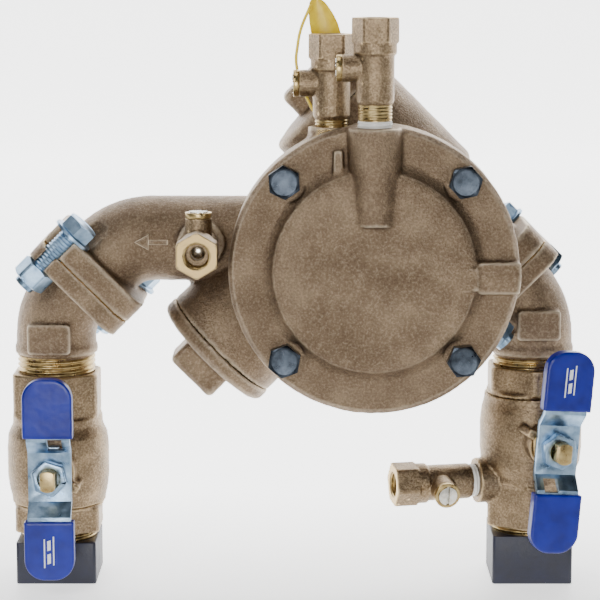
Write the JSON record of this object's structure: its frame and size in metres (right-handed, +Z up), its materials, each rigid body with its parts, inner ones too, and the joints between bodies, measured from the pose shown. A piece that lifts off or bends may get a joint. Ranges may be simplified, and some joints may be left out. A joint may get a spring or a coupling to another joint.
{
  "type": "backflow preventer",
  "caption": "Reduced-pressure backflow preventer with two check valves, relief valve, ball valves with lever handles and test cocks.",
  "frame": {"origin": "centre of the inlet coupling's lower end face, on the inlet riser's axis", "axes": "+Z up along the inlet riser, +X from the outlet riser to the inlet riser, -Y towards the relief cover and the handles"},
  "size_m": [0.2616, 0.1293, 0.2624],
  "materials": {
    "cast_bronze": "sand-cast, tumbled",
    "machined_brass": "machined, satin",
    "forged_brass": "forged and tumbled",
    "zinc_steel": "zinc plated",
    "chrome_brass": "bright plated",
    "stainless": "drawn wire and turned bar",
    "black_steel": "black painted",
    "vinyl_blue": "dipped vinyl",
    "rubber_black": "moulded",
    "ptfe_white": "turned",
    "acetal": "moulded",
    "tag_yellow": "strap"
  },
  "bodies": {
    "housing": {"main_body": "cast_bronze", "relief_cover": "cast_bronze", "cover_bolts": "zinc_steel", "diaphragm": "rubber_black", "relief_guide": "machined_brass", "relief_spring": "stainless", "relief_seat": "machined_brass", "o_rings": "rubber_black", "inlet_elbow": "cast_bronze", "outlet_elbow": "cast_bronze", "flange_bolts": "zinc_steel", "flange_nuts": "zinc_steel", "inlet_coupling": "black_steel", "outlet_coupling": "black_steel", "riser_nipples": "machined_brass", "valve_seats": "ptfe_white", "stem_packings": "ptfe_white", "gland_nuts": "machined_brass", "test_cock_rings": "machined_brass", "tag": "tag_yellow", "check1_seat": "machined_brass", "check1_spring": "stainless", "check1_bonnet": "cast_bronze", "check2_seat": "machined_brass", "check2_spring": "stainless", "check2_bonnet": "cast_bronze", "inlet_valve_body": "forged_brass", "inlet_tailpiece": "forged_brass", "outlet_valve_body": "forged_brass", "outlet_tailpiece": "forged_brass", "test_cock_1": "forged_brass", "test_cock_2": "forged_brass", "test_cock_3": "forged_brass", "test_cock_4": "forged_brass"},
    "check1_moving": {"check1_poppet": "acetal", "check1_disc": "rubber_black", "check1_disc_screw": "stainless"},
    "check2_moving": {"check2_poppet": "acetal", "check2_disc": "rubber_black", "check2_disc_screw": "stainless"},
    "relief_moving": {"diaphragm_front_plate": "stainless", "diaphragm_rear_plate": "stainless", "relief_stem": "stainless", "relief_stem_nuts": "stainless", "relief_disc_holder": "machined_brass", "relief_disc": "rubber_black"},
    "inlet_turning": {"inlet_ball": "chrome_brass", "inlet_stem": "machined_brass", "inlet_handle": "zinc_steel", "inlet_grips": "vinyl_blue", "inlet_handle_nut": "zinc_steel"},
    "outlet_turning": {"outlet_ball": "chrome_brass", "outlet_stem": "machined_brass", "outlet_handle": "zinc_steel", "outlet_grips": "vinyl_blue", "outlet_handle_nut": "zinc_steel"},
    "cock1_turning": {"test_cock_1_stem": "chrome_brass"},
    "cock2_turning": {"test_cock_2_stem": "chrome_brass"},
    "cock3_turning": {"test_cock_3_stem": "chrome_brass"},
    "cock4_turning": {"test_cock_4_stem": "chrome_brass"}
  },
  "joints": [
    {"name": "check1_lift", "type": "slide", "parent": "housing", "child": "check1_moving", "axis": [-0.7071, 0, 0.7071], "range_m": [0, 0.009], "stiffness_N_per_m": 900, "springref_m": -0.006, "deforming": ["check1_spring"]},
    {"name": "check2_lift", "type": "slide", "parent": "housing", "child": "check2_moving", "axis": [-0.7071, 0, -0.7071], "range_m": [0, 0.009], "stiffness_N_per_m": 900, "springref_m": -0.006, "deforming": ["check2_spring"]},
    {"name": "relief_travel", "type": "slide", "parent": "housing", "child": "relief_moving", "axis": [0, 1, 0], "range_m": [0, 0.007], "stiffness_N_per_m": 1500, "springref_m": -0.004, "deforming": ["relief_spring", "diaphragm"]},
    {"name": "inlet_handle_turn", "type": "hinge", "parent": "housing", "child": "inlet_turning", "pos_m": [0, 0, 0.066], "axis": [-0.225, 0.9744, 0], "range_deg": [-5, 85]},
    {"name": "outlet_handle_turn", "type": "hinge", "parent": "housing", "child": "outlet_turning", "pos_m": [-0.215, 0, 0.054], "axis": [0, 1, 0], "range_deg": [0, 90]},
    {"name": "test_cock_1_turn", "type": "hinge", "parent": "housing", "child": "cock1_turning", "pos_m": [-0.04258, -0.00983, 0.0452], "axis": [-0.2222, 0.9624, 0.1564], "range_deg": [0, 90]},
    {"name": "test_cock_2_turn", "type": "hinge", "parent": "housing", "child": "cock2_turning", "pos_m": [-0.0734, -0.058, 0.2344], "axis": [1, 0, 0], "range_deg": [0, 90]},
    {"name": "test_cock_3_turn", "type": "hinge", "parent": "housing", "child": "cock3_turning", "pos_m": [-0.0914, -0.038, 0.2269], "axis": [1, 0, 0], "range_deg": [0, 90]},
    {"name": "test_cock_4_turn", "type": "hinge", "parent": "housing", "child": "cock4_turning", "pos_m": [-0.1486, -0.041, 0.1554], "axis": [0, 0, -1], "range_deg": [0, 90]}
  ]
}
